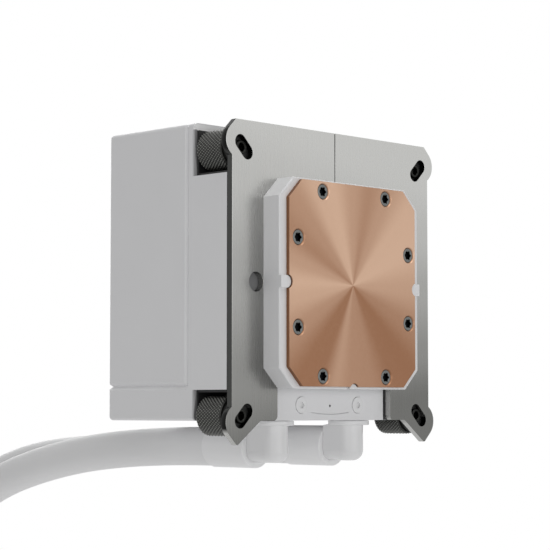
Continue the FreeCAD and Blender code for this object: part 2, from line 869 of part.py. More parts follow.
def make_stator():
    back = stator_front_y + stator_thickness
    core = ring_y(stator_radius, can_radius + stator_clearance, stator_front_y, back)
    window = ring_y(yoke_inner_radius, shoe_radius, stator_front_y, back)
    step = 360 / tooth_count
    teeth, mouths, coils = [], [], []
    for i in range(tooth_count):
        tooth = box(0, stator_radius, stator_front_y, back, -tooth_width / 2, tooth_width / 2)
        mouth = box(can_radius, shoe_radius + 0.5, stator_front_y, back, -slot_mouth / 2, slot_mouth / 2)
        half = tooth_width / 2 + coil_width
        gap = coil_clearance
        reach = math.sqrt((yoke_inner_radius - gap) ** 2 - half ** 2)
        coil = box(shoe_radius + gap, reach, stator_front_y - coil_overhang, back + coil_overhang,
                   -half, half)
        upright = edges_where(coil, lambda b: near(b.YMin, b.YMax) and near(b.ZMin, b.ZMax))
        coil = coil.makeFillet(min(coil_width, coil_overhang) / 2, upright)
        core_room = box(0, stator_radius, stator_front_y - gap / 2, back + gap / 2,
                        -tooth_width / 2 - gap / 2, tooth_width / 2 + gap / 2)
        coil = coil.cut(core_room)
        for shape, turn in ((tooth, step * i), (mouth, step * (i + 0.5)), (coil, step * i)):
            shape.rotate(V(0, 0, 0), V(0, 1, 0), turn)
        teeth.append(tooth)
        mouths.append(mouth)
        coils.append(coil)
    core = core.cut(window.cut(teeth)).cut(mouths)
    keep("stator_core", core)
    keep("stator_coils", *coils)


def make_control_board():
    w = board_half_width
    board = box(-w, w, board_front_y, board_back_y, board_low_z, board_high_z)
    corners = edges_where(board, lambda b: near(b.XMin, b.XMax) and near(b.ZMin, b.ZMax))
    board = board.makeFillet(board_corner_radius, corners)
    hole = board_screw_radius + board_hole_clearance
    board = board.cut([cyl_y(hole, board_front_y, board_back_y, x, z) for x, z in board_post_places()])
    keep("control_board", board)
    middle = (board_low_z + board_high_z) / 2
    chip = box(-chip_size / 2, chip_size / 2, board_back_y, board_back_y + chip_height,
               middle - chip_size / 2, middle + chip_size / 2)
    pieces = [chip]
    for i in (-1, 0, 1):
        pieces.append(cyl_y(capacitor_radius, board_back_y, board_back_y + capacitor_height,
                            -w / 2, middle + i * capacitor_pitch))
    header = box(w / 2, w / 2 + header_width, board_back_y, board_back_y + header_height,
                 middle - header_length / 2, middle + header_length / 2)
    pieces.append(header)
    keep("board_components", *pieces)
    screws = []
    for x, z in board_post_places():
        head = cyl_y(board_screw_head, board_back_y, board_back_y + board_screw_head_height, x, z)
        shank = cyl_y(board_screw_radius, board_back_y - board_screw_length, board_back_y, x, z)
        screws.append(head.fuse(shank).removeSplitter())
    keep("board_screws", *screws)


def make_cable_socket():
    w = housing_half_width
    shell = socket_block(0)
    inside = socket_height / 2 - socket_wall
    half = socket_half_length - socket_wall
    mouth = box(w - socket_depth + socket_wall, w, socket_y - inside, socket_y + inside, -half, half)
    tongue = box(w - socket_depth + socket_wall, w - tongue_inset, socket_y - tongue_thickness / 2,
                 socket_y + tongue_thickness / 2, tongue_inset - half, half - tongue_inset)
    keep("cable_socket", union([shell.cut(mouth), tongue]))


def make_display():
    w, top, low = housing_half_width, housing_top, cover_low_z
    u, g = groove_upright, groove_level
    shell = box(-w, w, rear_seam_y, far_face_y, low, top)

    def rounded(b):
        along_y = near(b.XMin, b.XMax) and near(b.ZMin, b.ZMax) and near(b.ZMin, top)
        upright_far = near(b.XMin, b.XMax) and flat_at(b.YMin, b.YMax, far_face_y)
        top_far = flat_at(b.ZMin, b.ZMax, top) and flat_at(b.YMin, b.YMax, far_face_y)
        return along_y or upright_far or top_far

    shell = shell.makeFillet(edge_radius, edges_where(shell, rounded))
    cuts = []
    for side in (-1, 1):
        upright = [V(side * w, rear_seam_y, 0), V(side * (w - u), rear_seam_y, 0),
                   V(side * w, rear_seam_y + u, 0)]
        face = Part.Face(Part.makePolygon(upright + upright[:1]))
        face.translate(V(0, 0, low))
        cuts.append(face.extrude(V(0, 0, top - low)))
        level = [V(side * w, 0, low), V(side * (w - g), 0, low), V(side * w, 0, low + g)]
        face = Part.Face(Part.makePolygon(level + level[:1]))
        face.translate(V(0, rear_seam_y, 0))
        cuts.append(face.extrude(V(0, far_face_y - rear_seam_y, 0)))
    over = [V(-w, rear_seam_y, top), V(-w, rear_seam_y + u, top), V(-w, rear_seam_y, top - u)]
    cuts.append(Part.Face(Part.makePolygon(over + over[:1])).extrude(V(2 * w, 0, 0)))
    back = [V(-w, far_face_y, low), V(-w, far_face_y, low + g), V(-w, far_face_y - g, low)]
    cuts.append(Part.Face(Part.makePolygon(back + back[:1])).extrude(V(2 * w, 0, 0)))
    cuts.append(box(wall - w, w - wall, rear_seam_y, glass_front_y - wall, low + wall, top - wall))
    glass_w = w - glass_margin
    glass_low, glass_top = low + glass_margin + g, top - glass_margin
    seat = box(-glass_w, glass_w, glass_front_y, far_face_y, glass_low, glass_top)
    corners = edges_where(seat, lambda b: near(b.XMin, b.XMax) and near(b.ZMin, b.ZMax))
    cuts.append(seat.makeFillet(glass_corner_radius, corners))
    m = window_margin
    cuts.append(box(m - w, w - m, rear_seam_y, far_face_y, low + m, top - m))
    keep("display_cover", shell.cut(cuts))
    c = glass_clearance
    glass = box(c - glass_w, glass_w - c, glass_front_y, far_face_y, glass_low + c, glass_top - c)
    corners = edges_where(glass, lambda b: near(b.XMin, b.XMax) and near(b.ZMin, b.ZMax))
    keep("display_glass", glass.makeFillet(glass_corner_radius, corners))
    p = m + panel_clearance
    keep("display_panel", box(p - w, w - p, panel_front_y, glass_front_y, low + p, top - p))
    make_display_carrier()


def make_display_carrier():
    """A plate behind the panel on four legs that stand on the base."""
    w = housing_half_width - wall - carrier_margin
    low, top = cover_low_z + wall + carrier_margin, housing_top - wall - carrier_margin
    plate = box(-w, w, carrier_front_y, panel_front_y, low, top)
    inset = carrier_leg_inset
    legs = [cyl_y(carrier_leg_radius, rear_pocket_y, carrier_front_y, sx * (w - inset), z)
            for sx in (-1, 1) for z in (low + inset, top - inset)]
    opening = box(3 * inset - w, w - 3 * inset, carrier_front_y, panel_front_y, low + 3 * inset,
                  top - 3 * inset)
    keep("display_carrier", union([plate.cut(opening)] + legs))


def make_retainer():
    """The clip that holds both elbow necks: a face between the bracket halves and a fork behind it."""
    front = base_front_y + retainer_recess
    back = front + retainer_thickness
    w = retainer_half_width
    face = box(-w, w, front, back, housing_bottom, retainer_top_z)
    tine = box(-tine_half_width, tine_half_width, back, back + tine_length, tine_z, tine_z + tine_thickness)
    neck = neck_groove_radius + tine_clearance
    cuts = []
    for side in (-1, 1):
        x = side * port_x
        cuts.append(cyl_z(neck, tine_z, tine_z + tine_thickness, x, port_y))
        cuts.append(box(x - neck, x + neck, port_y, back + tine_length, tine_z, tine_z + tine_thickness))
        cuts.append(cyl_y(retainer_screw_head + 0.1, front, front + retainer_thickness / 2,
                          side * retainer_screw_x, retainer_screw_z))
        cuts.append(cyl_y(retainer_screw_radius + screw_thread_clearance, front, back,
                          side * retainer_screw_x, retainer_screw_z))
    reach = latch_half_width
    radius = (reach ** 2 + latch_sag ** 2) / (2 * latch_sag)
    bow = ring_y(radius + latch_line / 2, radius - latch_line / 2, front, front + latch_depth, 0,
                 latch_z - latch_sag + radius)
    cuts.append(bow.common(box(-reach, reach, front, front + latch_depth, latch_z - 2 * latch_sag, latch_z)))
    cuts.append(cyl_y(dot_radius, front, front + latch_depth, 0, dot_z))
    keep("port_retainer", union([face, tine]).cut(cuts))
    screws = []
    for side in (-1, 1):
        x, z = side * retainer_screw_x, retainer_screw_z
        seat = front + retainer_thickness / 2
        head = cyl_y(retainer_screw_head, base_front_y, seat, x, z)
        shank = cyl_y(retainer_screw_radius, seat, back + retainer_screw_depth - base_gap, x, z)
        drive = hexagon(retainer_screw_radius * 2, base_front_y, base_front_y + latch_depth, x, z)
        screws.append(head.fuse(shank).removeSplitter().cut(drive))
    keep("port_retainer_screws", *screws)


def seal_levels():
    top = elbow_top_z + neck_length
    return [top - neck_seal_below_top - neck_seal_width - i * neck_seal_pitch for i in range(2)]


def make_elbow(side):
    """Neck in the port, flange under the base, round corner and the nipple inside the ferrule."""
    name = "left" if side < 0 else "right"
    x = side * port_x
    neck_radius = port_radius - port_running_clearance
    half = elbow_half_width
    foot = hose_z - half
    post = box(x - half, x + half, port_y - half, ferrule_start_y, foot, flange_low_z)
    upright = edges_where(post, lambda b: near(b.XMin, b.XMax) and near(b.YMin, b.YMax)
                          and near(b.YMin, port_y - half))
    post = post.makeFillet(min(elbow_side_radius, 0.96 * half), upright)
    low = edges_where(post, lambda b: flat_at(b.ZMin, b.ZMax, foot) and b.YMin < ferrule_start_y - 0.1)
    post = post.makeFillet(min(elbow_foot_radius, 0.8 * elbow_side_radius), low)
    nipple_end = ferrule_end_y - ferrule_cap - ferrule_bore_clearance
    pieces = [
        cyl_z(neck_radius, elbow_top_z, elbow_top_z + neck_length, x, port_y),
        cyl_z(elbow_flange_radius, flange_low_z, elbow_top_z, x, port_y),
        post,
        cyl_y(nipple_radius, ferrule_start_y, nipple_end, x, hose_z),
    ]
    body = union(pieces)
    cuts = []
    for z in seal_levels():
        cuts.append(cyl_z(port_radius, z, z + neck_seal_width, x, port_y)
                    .cut(cyl_z(neck_seal_radius, z, z + neck_seal_width, x, port_y)))
    low_z = tine_z - tine_clearance
    high_z = tine_z + tine_thickness + tine_clearance
    cuts.append(cyl_z(port_radius, low_z, high_z, x, port_y)
                .cut(cyl_z(neck_groove_radius, low_z, high_z, x, port_y)))
    cuts.append(cyl_z(elbow_bore, hose_z, elbow_top_z + neck_length, x, port_y))
    cuts.append(Part.makeSphere(elbow_bore, V(x, port_y, hose_z)))
    cuts.append(cyl_y(elbow_bore, port_y, nipple_end, x, hose_z))
    keep("elbow_" + name, body.cut(cuts))
    rings = []
    for z in seal_levels():
        outer = port_radius - port_running_clearance / 2
        rings.append(cyl_z(outer, z, z + neck_seal_width, x, port_y)
                     .cut(cyl_z(neck_seal_radius, z, z + neck_seal_width, x, port_y)))
    keep("neck_seals_" + name, *rings)
    shell = cyl_y(ferrule_radius, ferrule_start_y, ferrule_end_y, x, hose_z)
    rims = edges_where(shell, lambda b: near(b.YMin, b.YMax))
    shell = shell.makeFillet(min(ferrule_edge, ferrule_radius - hose_radius + 0.7), rims)
    bore = cyl_y(nipple_radius + ferrule_bore_clearance, ferrule_start_y, ferrule_end_y - ferrule_cap,
                 x, hose_z)
    keep("ferrule_" + name, shell.cut(bore))


def hose_path(route):
    """Straight runs joined by tangent arcs, and the radius of each arc."""
    points = [V(*p) for p in route]
    edges, radii = [], []
    start = points[0]
    for before, corner, after in zip(points, points[1:], points[2:]):
        into = corner.sub(before)
        away = after.sub(corner)
        half_turn = into.getAngle(away) / 2
        cut = arc_share * min(into.Length, away.Length)
        into.normalize()
        away.normalize()
        first = corner - into * cut
        last = corner + away * cut
        radius = cut / math.tan(half_turn)
        inward = away - into
        inward.normalize()
        centre = corner + inward * (radius / math.cos(half_turn))
        top = centre + (corner - centre).normalize() * radius
        edges.append(Part.LineSegment(start, first).toShape())
        edges.append(Part.Arc(first, top, last).toShape())
        radii.append(radius)
        start = last
    edges.append(Part.LineSegment(start, points[-1]).toShape())
    return Part.Wire(edges), radii


def make_hose(name, route):
    wire, radii = hose_path(route)
    start = V(*route[0])
    direction = V(*route[1]).sub(start)
    section = Part.Wire(Part.makeCircle(hose_radius, start, direction))
    tube = wire.makePipeShell([section], True, False)
    keep("hose_" + name, tube)
    ideal = math.pi * hose_radius ** 2 * wire.Length
    print("hose_%s length %.1f, volume over ideal %.4f" % (name, wire.Length, tube.Volume / ideal))
    print("hose_%s bend radii %s" % (name, " ".join("%.0f" % r for r in radii)))


def down(radius, s0, s1, end):
    """A cylinder along the hose's end, between two distances below it."""
    return cyl_z(radius, end[2] - s1, end[2] - s0, end[0], end[1])


def make_tail(name, end):
    """Ferrule, nipple, hexagonal threaded swivel and its seal, straight below a hose's end."""
    shell = down(ferrule_radius, 0, ferrule_length, end)
    rims = edges_where(shell, lambda b: near(b.ZMin, b.ZMax))
    shell = shell.makeFillet(min(ferrule_edge, ferrule_radius - hose_radius + 0.7), rims)
    bore = down(nipple_radius + ferrule_bore_clearance, ferrule_cap, ferrule_length, end)
    keep("end_ferrule_" + name, shell.cut(bore))
    s = ferrule_length
    collar_end = s + tail_collar_length
    hex_start = collar_end + tail_clearance
    hex_end = hex_start + nut_length
    flange_start = hex_end - tail_flange_length
    step = flange_start - tail_clearance
    fitting = union([
        down(nipple_radius, ferrule_cap + ferrule_bore_clearance, s, end),
        down(tail_collar_radius, s, collar_end, end),
        down(tail_barrel_radius, collar_end, flange_start, end),
        down(tail_flange_radius, flange_start, hex_end, end),
    ])
    fitting = fitting.cut(down(elbow_bore, ferrule_cap + ferrule_bore_clearance, hex_end, end))
    keep("end_fitting_" + name, fitting)
    across = nut_flats / math.sqrt(3)
    turns = [math.radians(60 * i) for i in range(7)]
    corners = [V(end[0] + across * math.cos(t), end[1] + across * math.sin(t), end[2] - hex_end)
               for t in turns]
    head = Part.Face(Part.makePolygon(corners)).extrude(V(0, 0, nut_length))
    top = Part.makeCone(across - nut_edge, across + nut_length, nut_length + nut_edge,
                        V(end[0], end[1], end[2] - hex_start), V(0, 0, -1))
    low = Part.makeCone(across - nut_edge, across + nut_length, nut_length + nut_edge,
                        V(end[0], end[1], end[2] - hex_end), V(0, 0, 1))
    head = head.common(top).common(low)
    swivel = union([head, down(thread_radius, hex_end, hex_end + thread_length, end)])
    swivel = swivel.cut(down(tail_barrel_radius + tail_clearance, hex_start, step, end))
    swivel = swivel.cut(down(thread_bore_radius, step, hex_end + thread_length, end))
    seal_start = hex_end + end_seal_proud - end_seal_width
    outer = end_seal_radius + gasket_clearance
    inner = end_seal_inner_radius - gasket_clearance
    groove = down(outer, seal_start, hex_end, end).cut(down(inner, seal_start, hex_end, end))
    keep("end_swivel_" + name, swivel.cut(groove))
    seal = down(end_seal_radius, seal_start, hex_end + end_seal_proud, end)
    seal = seal.cut(down(end_seal_inner_radius, seal_start, hex_end + end_seal_proud, end))
    keep("end_seal_" + name, seal)


def main():
    os.makedirs("parts", exist_ok=True)
    make_cold_plate()
    make_cold_plate_screws()
    make_gasket_and_jet_plate()
    make_pump_base()
    make_nut_well_liners()
    make_brackets()
    make_thumb_nuts()
    make_pump_motor()
    make_impeller()
    make_stator()
    make_control_board()
    make_cable_socket()
    make_display()
    make_retainer()
    make_elbow(-1)
    make_elbow(1)
    for name, route in (("left", left_route), ("right", right_route)):
        make_hose(name, route)
        make_tail(name, route[-1])
    for name, shape in parts.items():
        shape.exportStep("parts/" + name + ".step")
        print("%-24s solids %d valid %s volume %.1f" % (name, len(shape.Solids), shape.isValid(), shape.Volume))


main()
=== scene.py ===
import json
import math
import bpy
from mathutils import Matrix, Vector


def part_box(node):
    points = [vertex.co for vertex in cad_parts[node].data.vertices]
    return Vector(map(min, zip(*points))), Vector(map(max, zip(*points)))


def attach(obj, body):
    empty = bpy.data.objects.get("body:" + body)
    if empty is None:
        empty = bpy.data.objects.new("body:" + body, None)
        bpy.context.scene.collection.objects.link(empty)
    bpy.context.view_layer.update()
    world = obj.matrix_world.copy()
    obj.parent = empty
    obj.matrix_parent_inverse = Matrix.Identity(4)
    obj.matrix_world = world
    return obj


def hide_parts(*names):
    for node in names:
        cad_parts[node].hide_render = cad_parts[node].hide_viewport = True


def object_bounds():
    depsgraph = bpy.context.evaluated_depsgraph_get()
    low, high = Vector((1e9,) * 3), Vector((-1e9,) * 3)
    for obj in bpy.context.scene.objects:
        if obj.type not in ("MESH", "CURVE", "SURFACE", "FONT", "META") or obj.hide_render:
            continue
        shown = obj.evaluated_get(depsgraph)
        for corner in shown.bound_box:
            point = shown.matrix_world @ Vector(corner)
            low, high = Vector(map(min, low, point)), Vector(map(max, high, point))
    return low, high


bl_info = {
    "name": "Liquid cooler pump head",
    "version": (1, 0, 0),
    "blender": (4, 5, 0),
    "location": "3D View > Sidebar > Cooler",
    "description": "Dresses the packed model of a liquid cooler's pump head with its bracket and hoses",
    "category": "Object",
}

import bmesh
import bpy
from bpy.props import FloatProperty, FloatVectorProperty, IntProperty, PointerProperty
from mathutils import Matrix, Vector

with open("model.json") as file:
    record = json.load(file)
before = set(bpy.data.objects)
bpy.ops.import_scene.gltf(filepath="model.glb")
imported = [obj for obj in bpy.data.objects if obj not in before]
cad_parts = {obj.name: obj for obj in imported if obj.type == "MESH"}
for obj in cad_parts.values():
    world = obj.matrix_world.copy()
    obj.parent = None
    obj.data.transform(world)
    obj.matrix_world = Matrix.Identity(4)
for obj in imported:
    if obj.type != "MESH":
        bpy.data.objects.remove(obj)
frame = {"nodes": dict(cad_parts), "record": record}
CAD_BOX = [list(corner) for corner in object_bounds()]

MM = 0.001
SIDES = ("left", "right")
CORNERS = ("upper_left", "upper_right", "lower_left", "lower_right")
SHARP_TURN = math.radians(40.0)
WHITE = (1.0, 1.0, 1.0, 1.0)
BLACK = (0.0, 0.0, 0.0, 1.0)

# Centre lines of the hoses, from the ferrule's mouth down to the end ferrule
HOSE_ROUTES = {
    "left": (
        (-0.01657, 0.0339, -0.04755),
        (-0.01657, 0.062, -0.04755),
        (-0.01717, 0.106, -0.0519),
        (-0.01817, 0.146, -0.06275),
        (-0.01887, 0.18, -0.08505),
        (-0.01937, 0.203, -0.12055),
        (-0.01957, 0.212, -0.16355),
        (-0.01937, 0.213, -0.20855),
        (-0.01897, 0.2115, -0.25255),
        (-0.01897, 0.2115, -0.29255),
    ),
    "right": (
        (0.01657, 0.0339, -0.04755),
        (0.01657, 0.065, -0.04755),
        (0.01707, 0.118, -0.05055),
        (0.01787, 0.168, -0.05375),
        (0.01857, 0.206, -0.06785),
        (0.01907, 0.233, -0.09555),
        (0.01937, 0.25, -0.13255),
        (0.01917, 0.2555, -0.17455),
        (0.01857, 0.2545, -0.21655),
        (0.01857, 0.2545, -0.25455),
    ),
}

# Middles (across, up) of the cold plate's screws, in millimetres
SCREW_PLACES = (
    (-13.35, 26.84), (14.25, 26.84), (-13.35, -26.84), (14.25, -26.84),
    (-23.75, 12.9), (-23.75, -12.9), (24.65, 10.4), (24.65, -10.4),
)
# One screw, from the cone under its head over the rim into the recess: (radius, depth), in millimetres
SCREW_PROFILE = (
    (1.15, 1.7), (1.95, 0.55), (2.14, 0.4), (2.1, 0.3), (1.95, 0.25), (1.45, 0.27),
    (1.3, 0.38), (1.15, 1.2), (0.0, 1.35),
)

# One thumb nut before and after its knurl: (radius, distance behind the bracket), in millimetres
NUT_SHANK = (
    (0.0, 11.0), (1.25, 10.6), (1.25, 1.1), (1.4, 0.95), (1.85, 0.95), (2.0, 1.1),
    (2.0, 2.7), (4.4, 2.7), (4.6, 2.9), (4.6, 4.0), (5.2, 4.0),
)
NUT_END = ((5.2, 14.0), (3.3, 14.0), (3.0, 13.7), (0.0, 13.7))
NUT_GRIP = 5.8
NUT_KNURL = (4.5, 13.5)

# Grey levels of the copper's painted reflection, bright and dark fans of sheen, by the share of a turn round
# the tool's centre
COPPER_SHEEN_FANS = (
    (0.0, 0.95), (0.03, 0.82), (0.08, 0.42), (0.14, 0.04), (0.17, 0.04), (0.21, 0.55), (0.245, 0.36),
    (0.29, 0.32), (0.345, 0.03), (0.38, 0.0), (0.43, 0.24), (0.5, 0.68), (0.57, 1.0), (0.62, 0.96),
    (0.67, 0.56), (0.71, 0.34), (0.75, 0.58), (0.8, 0.96), (0.83, 0.92), (0.875, 0.44), (0.92, 0.26),
    (0.96, 0.6), (1.0, 0.95),
)
# Grey levels of the painted reflection on the bracket's faces, darker towards its feet, by the share of its
# height
PLATE_REFLECTION_LEVELS = ((0.05, 0.0), (0.25, 0.26), (0.5, 0.54), (0.75, 0.83), (0.97, 1.0))

# Noise scales: clouds in plastic and steel, fine streaks of brushed steel, the grain of moulded plastic
PLASTIC_CLOUD = 60.0
STEEL_CLOUD = 45.0
STREAKS = 2600.0
GRAIN = 9000.0
UPRIGHT = (1.0, 1.0, 0.02)

# The photograph's camera: its place, and its own axes to the right, up and backwards
PHOTO_PLACE = (-0.410485, -0.376537, -0.035858)
PHOTO_AXES = (
    (0.699407, -0.714724, 0.0),
    (-0.050489, -0.049407, 0.997502),
    (-0.712938, -0.697659, -0.070641),
)


def length(default, name, description):
    return FloatProperty(name=name, description=description, default=default, unit="LENGTH", min=0.0)


def colour(default, name, description):
    return FloatVectorProperty(name=name, description=description, default=default, subtype="COLOR",
                               size=3, min=0.0, max=1.0)


def watts(default, name, description):
    return FloatProperty(name=name, description=description, default=default, unit="POWER", min=0.0)


class CoolerSizes(bpy.types.PropertyGroup):
    hose_diameter: length(0.0117, "Hose diameter", "Outside diameter of both hoses")
    knurl_depth: length(0.0003, "Knurl depth", "How deep the diamond grooves of the thumb nuts are")
    knurl_diamonds: IntProperty(name="Diamonds", description="Diamonds round a thumb nut", default=38, min=8)
    knurl_rows: IntProperty(name="Rows", description="Half diamonds along one thumb nut", default=14, min=4)
    moulding_edge: length(0.0003, "Moulding edge", "Rounding of the plastic parts' sharp edges")
    well_edge: length(0.00095, "Well edge", "Rounding of the nut wells' rear edges")
    plate_edge: length(0.00015, "Plate edge", "Rounding of the bracket's punched edges")
    copper_edge: length(0.0001, "Copper edge", "Rounding of the cold plate's edges")
    elbow_edge: length(0.00025, "Elbow edge", "Rounding of the elbows' sharp edges")
    ferrule_edge: length(0.00035, "Ferrule edge", "Rounding of the ferrules' ends")


class CoolerColours(bpy.types.PropertyGroup):
    moulding: colour((0.80, 0.80, 0.81), "Moulding", "White plastic of the housing")
    fitting: colour((0.805, 0.805, 0.81), "Fitting", "White plastic and metal of the elbows and hose ends")
    hose: colour((0.81, 0.81, 0.815), "Hose", "Outer sleeve of the hoses")
    # The two ends of a painted reflection on the bracket, top and feet; the top colour is also painted light
    # on its lower and inner cut edges
    steel: colour((0.502, 0.502, 0.487), "Steel", "Brushed steel at the bracket's top")
    steel_foot: colour((0.136, 0.136, 0.129), "Steel, feet", "Brushed steel at the bracket's feet")
    # Painted shade on the bracket's outer cut edges and top faces
    cut_edge: colour((0.055, 0.056, 0.054), "Cut edge", "Punched outer edges of the bracket")
    # Fans of painted reflection on the copper; the dark one is also painted shade where the copper lies deep
    copper_light: colour((0.585, 0.392, 0.28), "Copper, light", "Bright fans of the turned copper face")
    copper_dark: colour((0.29, 0.143, 0.078), "Copper, dark", "Dark fans of the turned copper face")
    nut: colour((0.222, 0.224, 0.208), "Nut", "Black steel of the thumb nuts")
    screw: colour((0.15, 0.156, 0.152), "Screw", "Steel of the cold plate's screws")
    liner: colour((0.006, 0.006, 0.006), "Liner", "Black linings of the nut wells")


class CoolerStudio(bpy.types.PropertyGroup):
    lens: FloatProperty(name="Lens", description="Focal length on a 36 mm sensor", default=122.54,
                        unit="CAMERA")
    ambient: FloatProperty(name="Ambient", description="Light from all round", default=0.3, min=0.0)
    front: watts(5.9, "Front", "Power of the wide lamp before the cold plate")
    left: watts(1.42, "Left", "Power of the large low lamp at the left")
    back: watts(16.3, "Back", "Power of the far lamp behind the display")
    top: watts(5.7, "Top", "Power of the large lamp overhead")
    floor_drop: length(0.02, "Floor drop", "Distance from the lowest fitting to the floor")


SETTINGS = {"cooler_sizes": CoolerSizes, "cooler_colours": CoolerColours, "cooler_studio": CoolerStudio}


def opaque(tint):
    return (*tint, 1.0)


def scaled(tint, factor):
    return tuple(min(1.0, value * factor) for value in tint)


class Socket:
    """A shader output that takes part in sums, so that masks can be written as expressions."""

    def __init__(self, finish, output):
        self.finish = finish
        self.output = output

    def apply(self, operation, *others):
        """What a Math node makes of this value and the others."""
        return self.finish.node("ShaderNodeMath", {"operation": operation}, self, *others)

    def beside(self, name):
        """Another output of the same node."""
        return Socket(self.finish, self.output.node.outputs[name])

    def larger(self, other):
        return self.apply("MAXIMUM", other)

    def __add__(self, other):
        return self.apply("ADD", other)

    def __sub__(self, other):
        return self.apply("SUBTRACT", other)

    def __mul__(self, other):
        return self.apply("MULTIPLY", other)

    def __truediv__(self, other):
        return self.apply("DIVIDE", other)

    def __rsub__(self, other):
        return self.finish.node("ShaderNodeMath", {"operation": "SUBTRACT"}, other, self)

    def __gt__(self, other):
        return self.apply("GREATER_THAN", other)

    def __lt__(self, other):
        return self.apply("LESS_THAN", other)

    def __abs__(self):
        return self.apply("ABSOLUTE")

    __radd__ = __add__
    __rmul__ = __mul__


class Finish:
    """The node tree of a material or world. Every node of it comes from node()."""

    def __init__(self, name, owner=None):
        self.owner = owner or bpy.data.materials.new(name)
        self.owner.use_nodes = True
        self.tree = self.owner.node_tree
        self.tree.nodes.clear()

    def node(self, kind, fields=None, *values, output=0, **named):
        """Adds a node: its fields first, then the values or links of its sockets."""
        made = self.tree.nodes.new(kind)
        for key, value in (fields or {}).items():
            setattr(made, key, value)
        sockets = list(zip(made.inputs, values))
        sockets += [(made.inputs[key.replace("_", " ")], value) for key, value in named.items()]
        for socket, value in sockets:
            self.plug(socket, value)
        return Socket(self, made.outputs[output]) if made.outputs else None

    def plug(self, socket, value):
        if isinstance(value, Socket):
            self.tree.links.new(value.output, socket)
        elif value is not None:
            socket.default_value = value

    def greys(self, rows, value):
        """Grey levels by the value, eased between rows of (place, level)."""
        shade = self.node("ShaderNodeValToRGB", None, value)
        ramp = shade.output.node.color_ramp
        ramp.interpolation = "EASE"
        while len(ramp.elements) > 1:
            ramp.elements.remove(ramp.elements[-1])
        for i, (place, level) in enumerate(rows):
            element = ramp.elements[0] if i == 0 else ramp.elements.new(place)
            element.position = place
            element.color = (level, level, level, 1.0)
        return shade

    def place(self, scale=(1.0, 1.0, 1.0), move=(0.0, 0.0, 0.0)):
        """Object coordinates, stretched by scale and then moved."""
        where = self.node("ShaderNodeTexCoord", output="Object")
        return self.node("ShaderNodeMapping", None, where, Location=move, Scale=scale)

    def noise(self, scale, detail=2.0, stretch=(1.0, 1.0, 1.0)):
        return self.node("ShaderNodeTexNoise", None, Vector=self.place(stretch), Scale=scale, Detail=detail)

    def blend(self, factor, first, second):
        """Mixes two colours: the Mix node's colour sockets come after five for numbers and vectors."""
        skipped = [None] * 5
        return self.node("ShaderNodeMix", {"data_type": "RGBA"}, factor, *skipped, first, second, output=2)

    def shades(self, factor, tint, dark, light):
        """One colour, scaled from dark to light by the factor."""
        return self.blend(factor, opaque(scaled(tint, dark)), opaque(scaled(tint, light)))

    def split(self, vector):
        """The X, Y and Z of a vector."""
        x = self.node("ShaderNodeSeparateXYZ", None, vector)
        return x, x.beside("Y"), x.beside("Z")

    def between(self, value, low, high):
        """Rises from 0 at low to 1 at high, and stays level past both."""
        return self.node("ShaderNodeMapRange", {"clamp": True}, value, low, high, 0.0, 1.0)

    def within(self, value, low, high):
        """One between two limits, nothing outside them."""
        return (value > low) * (high > value)

    def shown(self):
        """One for what the camera sees, also mirrored or through glass, and nothing for the light."""
        seen = self.node("ShaderNodeLightPath")
        return seen.larger(seen.beside("Is Glossy Ray")).larger(seen.beside("Is Transmission Ray"))

    def bump(self, height, strength, distance):
        return self.node("ShaderNodeBump", None, Strength=strength, Distance=distance, Height=height)

    def surface(self, **named):
        """Ends the tree with a Principled shader."""
        shader = self.node("ShaderNodeBsdfPrincipled", None, **named)
        self.node("ShaderNodeOutputMaterial", None, shader)
        return self.owner


def settings(name):
    return getattr(bpy.context.scene, name)


def grained(finish, tint, roughness=0.42, grain=0.02):
    """The colour, roughness and normal of fine-grained moulded plastic."""
    cloud = finish.noise(PLASTIC_CLOUD)
    spark = finish.noise(GRAIN, 1.0)
    return {
        "Base_Color": finish.shades(cloud, tint, 0.975, 1.02),
        "Roughness": cloud * 0.08 + (roughness - 0.04),
        "Normal": finish.bump(spark, 0.25, grain * MM),
    }


def moulded(name, *values):
    """Fine-grained moulded plastic of one colour."""
    finish = Finish(name)
    return finish.surface(**grained(finish, *values))


